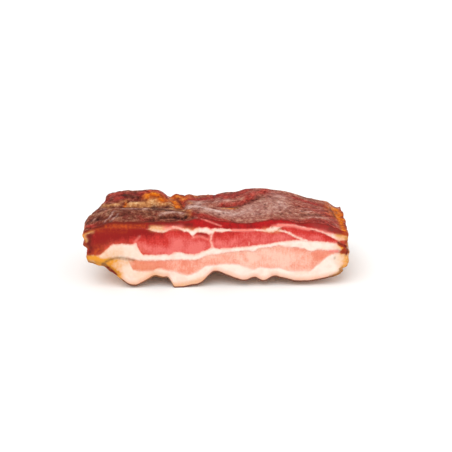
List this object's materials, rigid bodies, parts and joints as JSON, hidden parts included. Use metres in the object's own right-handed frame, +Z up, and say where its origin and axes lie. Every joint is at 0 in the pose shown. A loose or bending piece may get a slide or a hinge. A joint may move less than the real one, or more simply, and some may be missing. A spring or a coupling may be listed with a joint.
{
  "type": "pork belly slab",
  "caption": "Slab of smoked pork belly lying on its folded rind, with layers of fat and lean showing at both cut faces and a dark wrinkled crust on top.",
  "frame": {"origin": "middle of the slab's footprint, on the surface it lies on", "axes": "+X along the strip, +Y from the front cut face to the back one, +Z up from the rind to the crust"},
  "size_m": [0.2248, 0.0754, 0.0662],
  "materials": {
    "back_fat": "satin, slightly greasy; tan at the rind",
    "pale_lean": "moist, mottled peach pink",
    "inner_fat": "satin, slightly greasy",
    "red_lean": "moist, fine grained",
    "smoked_crust": "dry, wrinkled, with a pale bloom"
  },
  "bodies": {
    "root": {"back_fat_and_rind": "back_fat", "lower_lean": "pale_lean", "middle_fat": "inner_fat", "middle_lean": "red_lean", "upper_fat": "inner_fat", "upper_lean_and_crust": "smoked_crust"}
  },
  "joints": []
}
